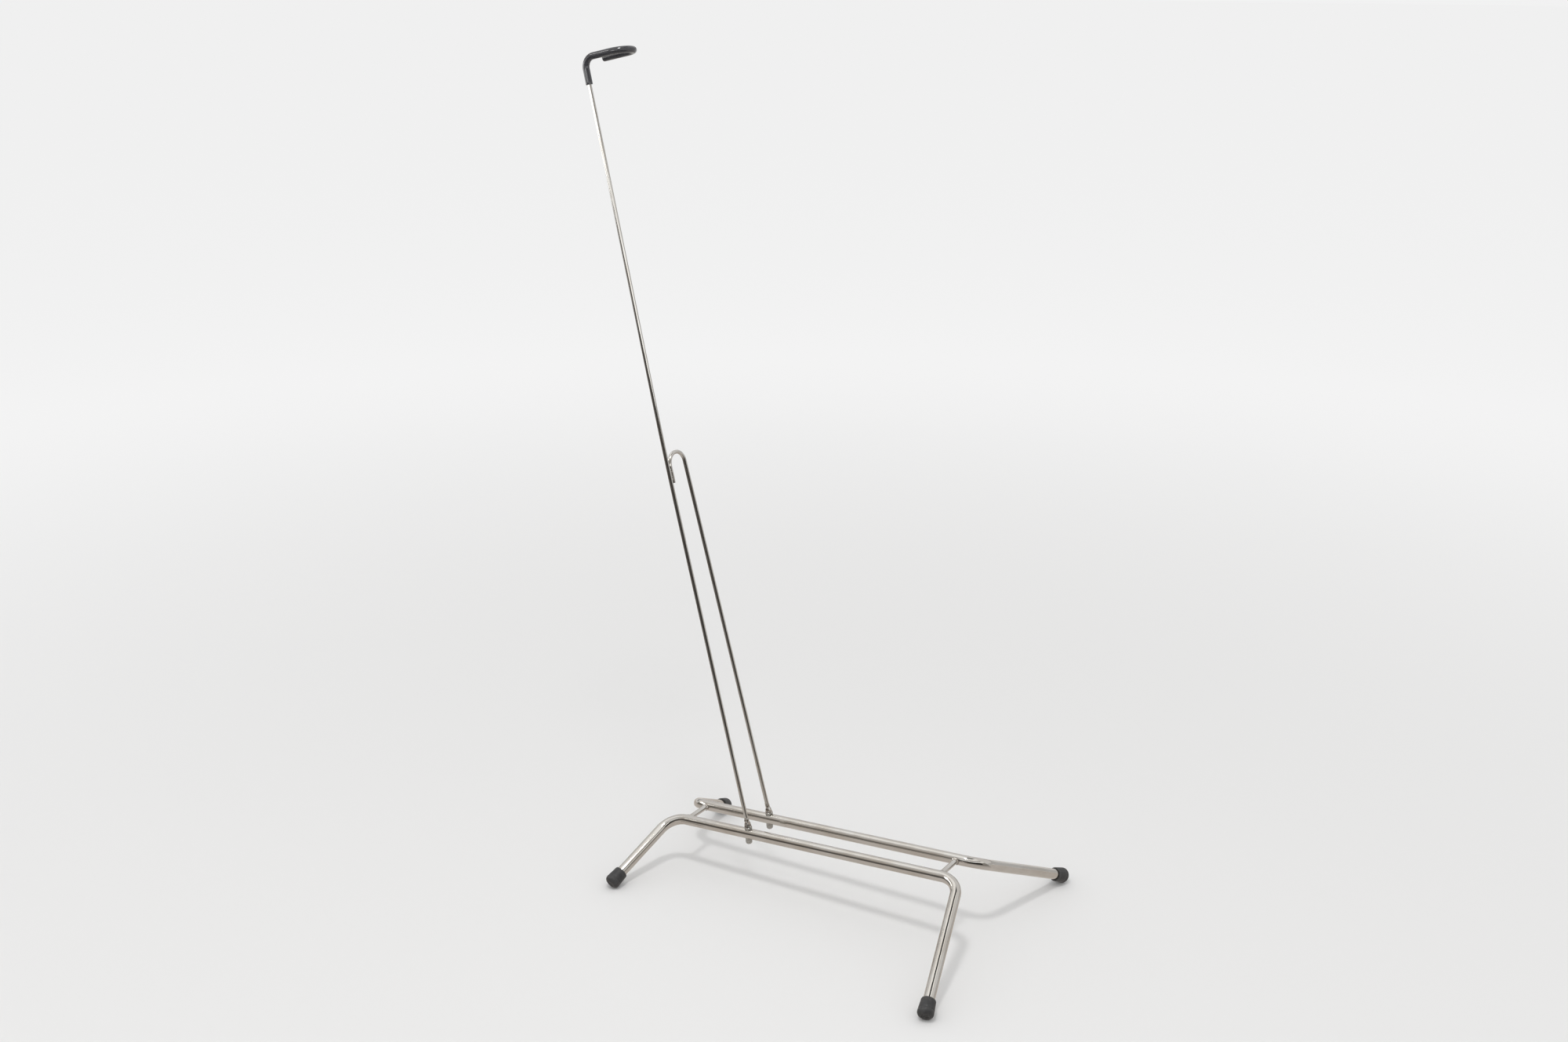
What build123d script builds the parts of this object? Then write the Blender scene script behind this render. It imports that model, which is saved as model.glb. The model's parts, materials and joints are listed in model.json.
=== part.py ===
"""Floor stand for one bicycle wheel, bent from round tube and rod.

Two parallel tubes carry the wheel between them on two crossbars.  Each tube bends down and
outwards into a leg at both ends.  A leaning upright drops into a hole in each tube: the loop rod
arches over the tyre and is welded to the hook rod, which goes on up to a sleeved hook.

Frame: X runs along the tubes from the low end to the high end, Y from the hook rod's side to the
loop rod's side, Z is up, and the floor is at Z = 0.
"""
from build123d import *
import os
from math import atan2, cos, pi, radians, sin, tan

# ---- driving dimensions, mm and degrees --------------------------------------------------

# rails
tube_diameter = 16.0
tube_wall = 1.2
tube_bend_radius = 34.0
rail_spacing = 58.8
low_end_reach = 140.0
high_end_reach = 352.0
rail_height = 81.0
rail_slope = 3.5

# legs: angle below level, and turn away from square to the rails
low_leg_drop = 26.2
low_leg_turn = 11.0
high_leg_drop = 24.6
high_leg_turn = 14.7

# rubber feet
foot_socket_depth = 21.0
foot_base_thickness = 5.0
foot_rim_wall = 2.3
foot_base_wall = 4.0
foot_rim_rounding = 1.4
foot_base_rounding = 6.0
foot_patch_depth = 0.5

# crossbars
crossbar_diameter = 8.0
low_crossbar_inset = 27.0
high_crossbar_inset = 31.4
crossbar_bead_width = 1.8
crossbar_bead_length = 3.0
crossbar_bead_rim = 0.5

# drop-in pins
pin_diameter = 10.0
pin_clearance = 0.3
pin_protrusion = 9.0
pin_dome_height = 4.0
shoulder_width = 0.8
shoulder_height = 3.0
pin_weld_length = 15.0
pin_weld_rim = 0.9
pin_weld_margin = 0.4

# uprights: the hook rod stands a little straighter above the arch than below it
rod_diameter = 6.0
upright_lean = 14.85
hook_rod_upper_lean = 13.45
hook_rod_crank_radius = 8000.0
hook_rod_height = 1206.5
arch_height = 647.0
arch_radius = 18.0
arch_crown = 1.0
lap_gap = 0.2
lap_length = 24.0
lap_weld_length = 22.0
lap_weld_inset = 0.7
lap_weld_rounding = 1.0

# hook
hook_bend_radius = 16.0
hook_arm_rise = 12.2
hook_arm_length = 67.0
hook_width = 41.0
hook_crown = 1.0
hook_return_length = 62.5
hook_side_droop = 3.7
sleeve_wall = 2.0
sleeve_skirt = 37.5
sleeve_overhang = 1.0


# ---- derived geometry ---------------------------------------------------------------------

tube_radius = tube_diameter / 2
crossbar_radius = crossbar_diameter / 2
rod_radius = rod_diameter / 2
rail_offset = rail_spacing / 2
along_rail = Vector(cos(radians(rail_slope)), 0, sin(radians(rail_slope)))
off_rail = Vector(-sin(radians(rail_slope)), 0, cos(radians(rail_slope)))

shoulder_radius = pin_diameter / 2 + shoulder_width
foot_length = foot_socket_depth + foot_base_thickness
foot_rim_radius = tube_radius + foot_rim_wall
foot_base_radius = tube_radius + foot_base_wall

arch_span = 2 * arch_radius + arch_crown
lap_offset = rod_diameter + lap_gap
pin_top = tube_radius + shoulder_height
pin_top_height = rail_height + pin_top * cos(radians(rail_slope))
toe_in = (rail_spacing - arch_span - lap_offset) / (2 * (arch_height - pin_top_height))


def rail_point(distance, side):
    """Point on a rail's centre line, a level distance from the pins; side is -1 or +1."""
    return Vector(distance, side * rail_offset, rail_height + distance * tan(radians(rail_slope)))


def upright_point(height, side):
    """Point on an upright's lower centre line, which starts in the middle of its pin's top."""
    foot = rail_point(0, side) + off_rail * pin_top
    rise = height - foot.Z
    return foot + Vector(-rise * tan(radians(upright_lean)), -side * rise * toe_in, rise)


def bent_path(points, radii):
    """Straight runs with a tangent arc at each inner point."""
    return FilletPolyline(*points, radius=radii)


def bent_rod(path, diameter):
    """Round bar along a path."""
    start = Plane(origin=path @ 0, z_dir=path % 0)
    return sweep(start * Circle(diameter / 2), path=path)


def bent_tube(path, outer_diameter, bore_diameter):
    """Round tube along a path."""
    start = Plane(origin=path @ 0, z_dir=path % 0)
    section = start * (Circle(outer_diameter / 2) - Circle(bore_diameter / 2))
    return sweep(section, path=path)


def mirrored(solid):
    """The same piece on the other side of the stand."""
    return mirror(solid, about=Plane.XZ)


# ---- rails, legs and feet -----------------------------------------------------------------

def leg_direction(drop, turn, end):
    """Unit vector down a leg on the -Y side; end is -1 for the low end, +1 for the high end."""
    level = cos(radians(drop))
    return Vector(end * level * sin(radians(turn)), -level * cos(radians(turn)), -sin(radians(drop)))


def foot_base_height(drop):
    """Height of the middle of a foot's end face that presses its rounded edge on the floor."""
    taper = atan2(foot_base_radius - foot_rim_radius, foot_length)
    edge_radius = foot_base_radius - foot_base_rounding / tan((pi / 2 - taper) / 2)
    angle = radians(drop)
    edge_drop = edge_radius * cos(angle) - foot_base_rounding * sin(angle)
    return edge_drop + foot_base_rounding - foot_patch_depth


def foot_base_point(corner, direction, drop):
    """Middle of a foot's end face, on the leg's centre line."""
    leg_length = (corner.Z - foot_base_height(drop)) / sin(radians(drop))
    return corner + direction * leg_length


def make_foot(base, direction):
    """Rubber ferrule with a socket for the tube end and a flat worn where it meets the floor."""
    section = make_face(
        Polyline(
            (0, 0),
            (foot_base_radius, 0),
            (foot_rim_radius, foot_length),
            (tube_radius, foot_length),
            (tube_radius, foot_base_thickness),
            (0, foot_base_thickness),
            close=True,
        )
    )
    base_corner = section.vertices().sort_by_distance((foot_base_radius, 0))[0]
    section = fillet(base_corner, foot_base_rounding)
    rim_corner = section.vertices().sort_by_distance((foot_rim_radius, foot_length))[0]
    section = fillet(rim_corner, foot_rim_rounding)
    body = revolve(Plane.XZ * section, axis=Axis.Z)
    placed = Plane(origin=base, z_dir=-direction) * body
    above_floor = Box(
        4 * foot_length, 4 * foot_length, 4 * foot_length, align=(Align.CENTER, Align.CENTER, Align.MIN)
    )
    return placed & Pos(base.X, base.Y, 0) * above_floor


low_corner = rail_point(-low_end_reach, -1)
high_corner = rail_point(high_end_reach, -1)
low_direction = leg_direction(low_leg_drop, low_leg_turn, -1)
high_direction = leg_direction(high_leg_drop, high_leg_turn, 1)
low_base = foot_base_point(low_corner, low_direction, low_leg_drop)
high_base = foot_base_point(high_corner, high_direction, high_leg_drop)

rail_path = bent_path(
    [
        low_base - low_direction * foot_base_thickness,
        low_corner,
        high_corner,
        high_base - high_direction * foot_base_thickness,
    ],
    tube_bend_radius,
)
pin_plane = Plane(origin=rail_point(0, -1), x_dir=along_rail, z_dir=off_rail)
pin_hole = pin_plane * Cylinder(pin_diameter / 2 + pin_clearance, 2 * tube_diameter)

hook_side_rail = bent_tube(rail_path, tube_diameter, tube_diameter - 2 * tube_wall) - pin_hole
low_foot = make_foot(low_base, low_direction)
high_foot = make_foot(high_base, high_direction)


# ---- crossbars and their weld beads ---------------------------------------------------------

def straight_rail_core(side):
    """Solid cylinder of a rail's straight run, used to shape what is welded to the rail."""
    middle = rail_point((high_end_reach - low_end_reach) / 2, side)
    return Plane(origin=middle, z_dir=along_rail) * Cylinder(
        tube_radius, low_end_reach + high_end_reach
    )


def make_crossbar(distance):
    """Rod across the stand, cut to fit against both rails."""
    start = rail_point(distance, -1)
    bar = Plane(origin=start, z_dir=Vector(0, 1, 0)) * Cylinder(
        crossbar_radius, rail_spacing, align=(Align.CENTER, Align.CENTER, Align.MIN)
    )
    return bar - straight_rail_core(-1) - straight_rail_core(1)


def make_crossbar_bead(distance):
    """Fillet weld round a crossbar's end, on the -Y side."""
    start = rail_point(distance, -1)
    reach = tube_radius + crossbar_bead_length
    cone = Plane(origin=start, z_dir=Vector(0, 1, 0)) * Cone(
        crossbar_radius + crossbar_bead_width,
        crossbar_radius + crossbar_bead_rim,
        reach,
        align=(Align.CENTER, Align.CENTER, Align.MIN),
    )
    bore = Plane(origin=start, z_dir=Vector(0, 1, 0)) * Cylinder(crossbar_radius, rail_spacing)
    return cone - bore - straight_rail_core(-1)


low_crossbar_place = low_crossbar_inset - low_end_reach
high_crossbar_place = high_end_reach - high_crossbar_inset
low_crossbar = make_crossbar(low_crossbar_place)
high_crossbar = make_crossbar(high_crossbar_place)
low_bead = make_crossbar_bead(low_crossbar_place)
high_bead = make_crossbar_bead(high_crossbar_place)


# ---- drop-in pins ---------------------------------------------------------------------------

def make_pin(plane):
    """Round pin with a domed tip and a shoulder that rests on top of the rail."""
    radius = pin_diameter / 2
    tip = -(tube_radius + pin_protrusion)
    seat = tube_radius
    dome_start = tip + pin_dome_height
    dome_middle = (radius * sin(radians(45)), dome_start - pin_dome_height * sin(radians(45)))
    outline = [
        ThreePointArc((0, tip), dome_middle, (radius, dome_start)),
        Line((radius, dome_start), (radius, seat)),
        Line((radius, seat), (shoulder_radius, seat)),
        Line((shoulder_radius, seat), (shoulder_radius, pin_top)),
        Line((shoulder_radius, pin_top), (0, pin_top)),
        Line((0, pin_top), (0, tip)),
    ]
    section = make_face(Plane.XZ * Wire(outline))
    return plane * revolve(section, axis=Axis.Z)


def upright_direction(side):
    """Unit vector up an upright's lower part."""
    return (upright_point(arch_height, side) - upright_point(pin_top_height, side)).normalized()


def below_pin_top(plane):
    """Block that fills the space under the pin's top face, used to trim the rod's foot."""
    centred_below = (Align.CENTER, Align.CENTER, Align.MAX)
    block = Box(tube_diameter, tube_diameter, tube_diameter, align=centred_below)
    return plane * Pos(0, 0, pin_top) * block


def make_pin_weld(plane, side, rod):
    """Weld that flows from the pin's shoulder up round the foot of the rod."""
    base = (plane * Pos(0, 0, pin_top)) * Circle(shoulder_radius - pin_weld_margin)
    direction = upright_direction(side)
    rim_centre = upright_point(pin_top_height, side) + direction * pin_weld_length
    rim = Plane(origin=rim_centre, z_dir=direction) * Circle(rod_radius + pin_weld_rim)
    return loft([base.face(), rim.face()], ruled=True) - rod


loop_pin_plane = Plane(origin=rail_point(0, 1), x_dir=along_rail, z_dir=off_rail)
hook_rod_pin = make_pin(pin_plane)
loop_rod_pin = make_pin(loop_pin_plane)


# ---- uprights and hook ----------------------------------------------------------------------

hook_rod_crank = upright_point(arch_height, -1)
upper_rise = hook_rod_height - arch_height
hook_corner = hook_rod_crank + Vector(
    -upper_rise * tan(radians(hook_rod_upper_lean)), upper_rise * toe_in, upper_rise
)
upper_direction = (hook_corner - hook_rod_crank).normalized()
arm = Vector(cos(radians(hook_arm_rise)), 0, sin(radians(hook_arm_rise)))
across = Vector(0, 1, 0).rotate(Axis((0, 0, 0), tuple(arm)), -hook_side_droop)
arm_corner = hook_corner + arm * hook_arm_length
return_corner = arm_corner + across * hook_width
rod_tip = return_corner - arm * hook_return_length
hook_turn_radius = (hook_width - hook_crown) / 2
hook_radii = [hook_bend_radius, hook_turn_radius, hook_turn_radius]

hook_rod_path = bent_path(
    [
        upright_point(rail_height, -1),
        hook_rod_crank,
        hook_corner,
        arm_corner,
        return_corner,
        rod_tip,
    ],
    [hook_rod_crank_radius, *hook_radii],
)
hook_rod = bent_rod(hook_rod_path, rod_diameter) - below_pin_top(pin_plane)

sleeve_path = bent_path(
    [
        hook_corner - upper_direction * sleeve_skirt,
        hook_corner,
        arm_corner,
        return_corner,
        rod_tip - arm * sleeve_overhang,
    ],
    hook_radii,
)
hook_sleeve = bent_tube(sleeve_path, rod_diameter + 2 * sleeve_wall, rod_diameter)

lower_direction = upright_direction(-1)
arch_corner = upright_point(arch_height, 1)
lap_corner = hook_rod_crank + Vector(0, lap_offset, 0)
lap_end = lap_corner - lower_direction * (arch_radius + lap_length)
loop_rod_path = bent_path(
    [upright_point(rail_height, 1), arch_corner, lap_corner, lap_end], arch_radius
)
loop_rod = bent_rod(loop_rod_path, rod_diameter) - below_pin_top(loop_pin_plane)

lap_middle = (hook_rod_crank + lap_corner) / 2 - lower_direction * (arch_radius + lap_length / 2)
lap_across = lower_direction.cross(Vector(0, 1, 0))
lap_plane = Plane(origin=lap_middle, x_dir=lap_across, z_dir=lower_direction)
lap_block = Box(rod_diameter - 2 * lap_weld_inset, lap_offset, lap_weld_length)
lap_block = fillet(lap_block.edges().filter_by(Axis.Y), lap_weld_rounding)
lap_weld = lap_plane * lap_block - hook_rod - loop_rod

hook_rod_pin_weld = make_pin_weld(pin_plane, -1, hook_rod)
loop_rod_pin_weld = make_pin_weld(loop_pin_plane, 1, loop_rod)


# ---- nodes ----------------------------------------------------------------------------------

nodes = {
    "hook_side_rail": hook_side_rail,
    "loop_side_rail": mirrored(hook_side_rail),
    "low_crossbar": low_crossbar,
    "high_crossbar": high_crossbar,
    "low_crossbar_weld_hook_side": low_bead,
    "low_crossbar_weld_loop_side": mirrored(low_bead),
    "high_crossbar_weld_hook_side": high_bead,
    "high_crossbar_weld_loop_side": mirrored(high_bead),
    "low_foot_hook_side": low_foot,
    "low_foot_loop_side": mirrored(low_foot),
    "high_foot_hook_side": high_foot,
    "high_foot_loop_side": mirrored(high_foot),
    "hook_rod": hook_rod,
    "loop_rod": loop_rod,
    "lap_weld": lap_weld,
    "hook_sleeve": hook_sleeve,
    "hook_rod_pin": hook_rod_pin,
    "loop_rod_pin": loop_rod_pin,
    "hook_rod_pin_weld": hook_rod_pin_weld,
    "loop_rod_pin_weld": loop_rod_pin_weld,
}

# the origin is on the floor under the middle of the whole stand
box = Compound(children=[solid.solid() for solid in nodes.values()]).bounding_box()
to_middle = Pos(-box.center().X, -box.center().Y, 0)

os.makedirs("parts", exist_ok=True)
for name, solid in nodes.items():
    export_step(to_middle * solid.solid(), f"parts/{name}.step")
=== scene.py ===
"""Looks of the bicycle floor stand: smooth bent tube and rod, lumpy plated welds, turned pins,
moulded rubber feet and a vinyl sleeve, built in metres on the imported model's own centre lines."""
import json
import math

import bpy
import numpy as np
from mathutils import Matrix, Vector, noise


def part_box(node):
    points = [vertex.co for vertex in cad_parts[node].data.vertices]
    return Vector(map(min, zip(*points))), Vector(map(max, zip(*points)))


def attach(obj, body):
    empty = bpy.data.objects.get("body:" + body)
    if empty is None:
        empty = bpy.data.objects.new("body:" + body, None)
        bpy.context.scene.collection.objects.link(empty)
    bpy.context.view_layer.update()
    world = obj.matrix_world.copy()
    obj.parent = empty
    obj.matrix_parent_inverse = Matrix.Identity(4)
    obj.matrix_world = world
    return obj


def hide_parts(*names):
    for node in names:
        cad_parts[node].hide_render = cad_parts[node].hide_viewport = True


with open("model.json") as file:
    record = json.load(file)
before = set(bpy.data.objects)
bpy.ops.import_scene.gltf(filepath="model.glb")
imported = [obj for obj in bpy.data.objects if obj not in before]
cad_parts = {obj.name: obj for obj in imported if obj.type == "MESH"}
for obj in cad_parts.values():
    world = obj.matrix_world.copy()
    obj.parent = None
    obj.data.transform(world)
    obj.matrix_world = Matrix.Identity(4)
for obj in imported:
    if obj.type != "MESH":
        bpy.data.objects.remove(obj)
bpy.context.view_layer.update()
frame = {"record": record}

# ---- measures, metres and degrees, as in the CAD source -----------------------------------------

TUBE_RADIUS = 0.008
TUBE_BORE = 0.0068
TUBE_BEND = 0.034
RAIL_OFFSET = 0.0294
LOW_REACH = 0.140
HIGH_REACH = 0.352
RAIL_HEIGHT = 0.081
RAIL_SLOPE = math.radians(3.5)
LOW_LEG = (math.radians(26.2), math.radians(11.0), -1)
HIGH_LEG = (math.radians(24.6), math.radians(14.7), 1)

FOOT_LENGTH = 0.026
FOOT_FLOOR = 0.005
FOOT_RIM_RADIUS = 0.0103
FOOT_BASE_RADIUS = 0.012
FOOT_RIM_ROUNDING = 0.0014
FOOT_BASE_ROUNDING = 0.006
FOOT_PATCH = 0.0005

CROSSBAR_RADIUS = 0.004
LOW_CROSSBAR = 0.027 - LOW_REACH
HIGH_CROSSBAR = HIGH_REACH - 0.0314
BEAD_WIDTH = 0.0018
BEAD_LENGTH = 0.003

PIN_RADIUS = 0.005
PIN_CLEARANCE = 0.0003
PIN_PROTRUSION = 0.009
PIN_DOME = 0.004
SHOULDER_RADIUS = 0.0058
SHOULDER_HEIGHT = 0.003
PIN_TOP = TUBE_RADIUS + SHOULDER_HEIGHT
PIN_WELD = 0.015

ROD_RADIUS = 0.003
LEAN = math.radians(14.85)
UPPER_LEAN = math.radians(13.45)
CRANK_BEND = 8.0
HOOK_HEIGHT = 1.2065
ARCH_HEIGHT = 0.647
ARCH_BEND = 0.018
ARCH_SPAN = 0.037
LAP_OFFSET = 0.0062
LAP_LENGTH = 0.024
LAP_WELD = 0.022

HOOK_BEND = 0.016
HOOK_ARM_RISE = math.radians(12.2)
HOOK_ARM = 0.067
HOOK_WIDTH = 0.041
HOOK_TURN = 0.020
HOOK_RETURN = 0.0625
HOOK_DROOP = math.radians(3.7)
SLEEVE_RADIUS = 0.005
SLEEVE_SKIRT = 0.0375
SLEEVE_OVERHANG = 0.001

# the feet and the sleeve stay this far inside the CAD model's surface
INSET = 0.00002

# ---- fineness of the meshes ---------------------------------------------------------------------

BEND_STEP = math.radians(3)
LEAST_BEND_STEPS = 6
# points are this close together within reach of a drilled hole
CLOSE_SPACING = 0.0008
CLOSE_REACH = 0.012
# faces that meet at more than this many degrees keep an edge between them
SHARP = 40
# radius of the smallest ring of a turned piece, inside its end face
CORE = 0.0003

# the pins stand this far along X from the middle of the stand
crossbar_low, crossbar_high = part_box("low_crossbar")
PIN_X = (crossbar_low.x + crossbar_high.x) / 2 - LOW_CROSSBAR

ALONG_RAIL = Vector((math.cos(RAIL_SLOPE), 0, math.sin(RAIL_SLOPE)))
OFF_RAIL = Vector((-math.sin(RAIL_SLOPE), 0, math.cos(RAIL_SLOPE)))
ACROSS = Vector((0, 1, 0))


# ---- centre lines -------------------------------------------------------------------------------

def rail_point(distance, side):
    """Point on a rail's centre line, a level distance from the pins; side is -1 or +1."""
    height = RAIL_HEIGHT + distance * math.tan(RAIL_SLOPE)
    return Vector((PIN_X + distance, side * RAIL_OFFSET, height))


PIN_TOP_HEIGHT = (rail_point(0, 1) + OFF_RAIL * PIN_TOP).z
TOE_IN = (2 * RAIL_OFFSET - ARCH_SPAN - LAP_OFFSET) / (2 * (ARCH_HEIGHT - PIN_TOP_HEIGHT))


def upright_point(height, side):
    """Point on an upright's lower centre line."""
    foot = rail_point(0, side) + OFF_RAIL * PIN_TOP
    rise = height - foot.z
    return foot + Vector((-rise * math.tan(LEAN), -side * rise * TOE_IN, rise))


def leg_ends(leg, side):
    """A leg's corner, the middle of its foot's end face, and the direction down the leg."""
    drop, turn, end = leg
    corner = rail_point(-LOW_REACH if end < 0 else HIGH_REACH, side)
    level = math.cos(drop)
    down = Vector((end * level * math.sin(turn), side * level * math.cos(turn), -math.sin(drop)))
    taper = math.atan2(FOOT_BASE_RADIUS - FOOT_RIM_RADIUS, FOOT_LENGTH)
    edge = FOOT_BASE_RADIUS - FOOT_BASE_ROUNDING / math.tan((math.pi / 2 - taper) / 2)
    edge_drop = edge * math.cos(drop) - FOOT_BASE_ROUNDING * math.sin(drop)
    base_height = edge_drop + FOOT_BASE_ROUNDING - FOOT_PATCH
    return corner, corner + down * ((corner.z - base_height) / math.sin(drop)), down


class Route:
    """Straight runs joined by tangent arcs, as close points with a frame that doesn't twist."""

    def __init__(self, corners, radii, spacing, close_at=None):
        self.points, self.bend, self.inward = [corners[0]], [0.0], [Vector((0, 0, 0))]
        for before, corner, after, radius in zip(corners, corners[1:], corners[2:], radii):
            arriving, leaving = (corner - before).normalized(), (after - corner).normalized()
            angle = arriving.angle(leaving)
            start = corner - arriving * radius * math.tan(angle / 2)
            axis = arriving.cross(leaving).normalized()
            centre = start + axis.cross(arriving) * radius
            self.run_to(start, spacing, close_at)
            steps = max(LEAST_BEND_STEPS, math.ceil(angle / BEND_STEP))
            for k in range(1, steps + 1):
                point = centre + Matrix.Rotation(angle * k / steps, 3, axis) @ (start - centre)
                self.add(point, math.sin(math.pi * k / steps), (centre - point).normalized())
        self.run_to(corners[-1], spacing, close_at)
        self.frames()

    def add(self, point, bend=0.0, inward=Vector((0, 0, 0))):
        self.points.append(point)
        self.bend.append(bend)
        self.inward.append(inward)

    def run_to(self, end, spacing, close_at):
        """Adds a straight run, with closer points near close_at."""
        start = self.points[-1]
        length = (end - start).length
        place = 0.0
        while length - place > 1e-6:
            here = start.lerp(end, place / length)
            near = close_at is not None and (here - close_at).length < CLOSE_REACH
            place = min(length, place + (CLOSE_SPACING if near else spacing))
            self.add(start.lerp(end, place / length))

    def frames(self):
        """Tangent, normal, binormal and distance at each point."""
        self.points = np.array([tuple(p) for p in self.points])
        self.inward = np.array([tuple(v) for v in self.inward])
        self.bend = np.array(self.bend)
        steps = np.diff(self.points, axis=0)
        lengths = np.linalg.norm(steps, axis=1)
        self.along = np.concatenate([[0], np.cumsum(lengths)])
        steps /= lengths[:, None]
        tangents = np.vstack([steps[:1], steps[:-1] + steps[1:], steps[-1:]])
        self.tangent = tangents / np.linalg.norm(tangents, axis=1)[:, None]
        steep = abs(self.tangent[0][2]) >= 0.9
        normal = np.cross(self.tangent[0], (0, 1, 0) if steep else (0, 0, 1))
        normals = []
        for tangent in self.tangent:
            normal = normal - tangent * (normal @ tangent)
            normal /= np.linalg.norm(normal)
            normals.append(normal)
        self.normal = np.array(normals)
        self.binormal = np.cross(self.tangent, self.normal)

    def rings(self, radius, segments, flatten=0.0, ripple=0.0, ripple_pitch=0.003):
        """Rings of points round the line. Bends are flattened and rippled on their inner side."""
        angles = np.linspace(0, 2 * math.pi, segments, endpoint=False)
        out = (
            np.cos(angles)[None, :, None] * self.normal[:, None, :]
            + np.sin(angles)[None, :, None] * self.binormal[:, None, :]
        )
        inner = np.clip(np.einsum("ijk,ik->ij", out, self.inward), 0, 1) ** 2
        wave = np.cos(2 * math.pi * self.along / ripple_pitch)[:, None]
        size = radius * (1 - self.bend[:, None] * inner * flatten)
        size = size + self.bend[:, None] * inner * ripple * (wave - 1)
        return self.points[:, None, :] + out * size[:, :, None]


# ---- mesh building ------------------------------------------------------------------------------

def flow_on(route, places):
    """For each place, its distance along the route and its offset from the centre line."""
    nearest = np.empty(len(places), int)
    batch = 4000
    for start in range(0, len(places), batch):
        part = places[start : start + batch]
        gaps = ((part[:, None, :] - route.points[None]) ** 2).sum(2)
        nearest[start : start + batch] = gaps.argmin(1)
    offset = places - route.points[nearest]
    return np.stack(
        [
            route.along[nearest] + (offset * route.tangent[nearest]).sum(1),
            (offset * route.normal[nearest]).sum(1),
            (offset * route.binormal[nearest]).sum(1),
        ],
        1,
    )


def set_flow(mesh, values):
    """Stores the coordinates that the materials' grain follows."""
    attribute = mesh.attributes.new("flow", "FLOAT_VECTOR", "POINT")
    attribute.data.foreach_set("vector", np.asarray(values, np.float32).ravel())


def grid_faces(rows, columns, looped):
    """Quads between closed rings, and from the last ring to the first if looped."""
    faces = []
    for i in range(rows if looped else rows - 1):
        this, following = i * columns, (i + 1) % rows * columns
        for j in range(columns):
            k = (j + 1) % columns
            faces.append((this + j, this + k, following + k, following + j))
    return faces


def skin(name, rings, looped=False, sharp=SHARP):
    """Object skinned over rings, with a face over each end unless it is looped."""
    rows, columns = rings.shape[:2]
    faces = grid_faces(rows, columns, looped)
    if not looped:
        faces.append(tuple(range(columns))[::-1])
        faces.append(tuple(range((rows - 1) * columns, rows * columns)))
    mesh = bpy.data.meshes.new(name)
    mesh.from_pydata(rings.reshape(-1, 3).tolist(), [], faces)
    smooth(mesh, sharp)
    piece = bpy.data.objects.new(name, mesh)
    bpy.context.scene.collection.objects.link(piece)
    return piece


def smooth(mesh, sharp):
    """Smooth shading that breaks where faces meet at more than sharp degrees."""
    mesh.update()
    mesh.shade_smooth()
    mesh.set_sharp_from_angle(angle=math.radians(sharp))


def lathe(name, profile, origin, axis, segments, sharp=SHARP):
    """Turned piece: profile is (distance along the axis, radius) from end to end."""
    axis = Vector(axis).normalized()
    side = axis.orthogonal().normalized()
    other = axis.cross(side)
    angles = np.linspace(0, 2 * math.pi, segments, endpoint=False)
    around = np.cos(angles)[:, None] * np.array(side) + np.sin(angles)[:, None] * np.array(other)
    rings = np.array(
        [np.array(origin) + np.array(axis) * place + around * radius for place, radius in profile]
    )
    piece = skin(name, rings, sharp=sharp)
    places = np.array([[place] * segments for place, _ in profile]).reshape(-1)
    radii = np.array([[radius] * segments for _, radius in profile]).reshape(-1)
    turn = np.tile(angles, len(profile))
    set_flow(piece.data, np.stack([places, radii * np.cos(turn), radii * np.sin(turn)], 1))
    return piece


def rounded(start, corner, end, radius, steps):
    """Profile points of an arc that rounds a corner between two straight lines."""
    start, corner, end = Vector(start), Vector(corner), Vector(end)
    arriving, leaving = (corner - start).normalized(), (end - corner).normalized()
    angle = arriving.angle(leaving)
    first = corner - arriving * radius * math.tan(angle / 2)
    last = corner + leaving * radius * math.tan(angle / 2)
    bisector = ((first + last) / 2 - corner).normalized()
    centre = corner + bisector * radius / math.cos(angle / 2)
    sense = math.copysign(1, arriving.x * leaving.y - arriving.y * leaving.x)
    turned = [Matrix.Rotation(sense * angle * k / steps, 2) for k in range(steps + 1)]
    return [tuple(centre + turn @ (first - centre)) for turn in turned]


def evaluated(piece):
    """Applies a piece's modifiers to its mesh."""
    depsgraph = bpy.context.evaluated_depsgraph_get()
    mesh = bpy.data.meshes.new_from_object(piece.evaluated_get(depsgraph))
    piece.modifiers.clear()
    piece.data = mesh
    return mesh


body_of_node = {
    node: body for body, nodes in frame["record"]["behaviour"]["bodies"].items() for node in nodes
}
slot_of_node = {s["node"]: s["material_slot"] for s in frame["record"]["subparts"]}


def stand_for(piece, node):
    """The piece takes a CAD node's place, body, slot and material."""
    slot = slot_of_node[node]
    piece.data.materials.clear()
    piece.data.materials.append(materials[slot])
    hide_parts(node)
    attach(piece, body_of_node[node])


# ---- materials ----------------------------------------------------------------------------------

# the Mix node's colour sockets
MIX_A, MIX_B, MIXED = 6, 7, 2


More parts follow.
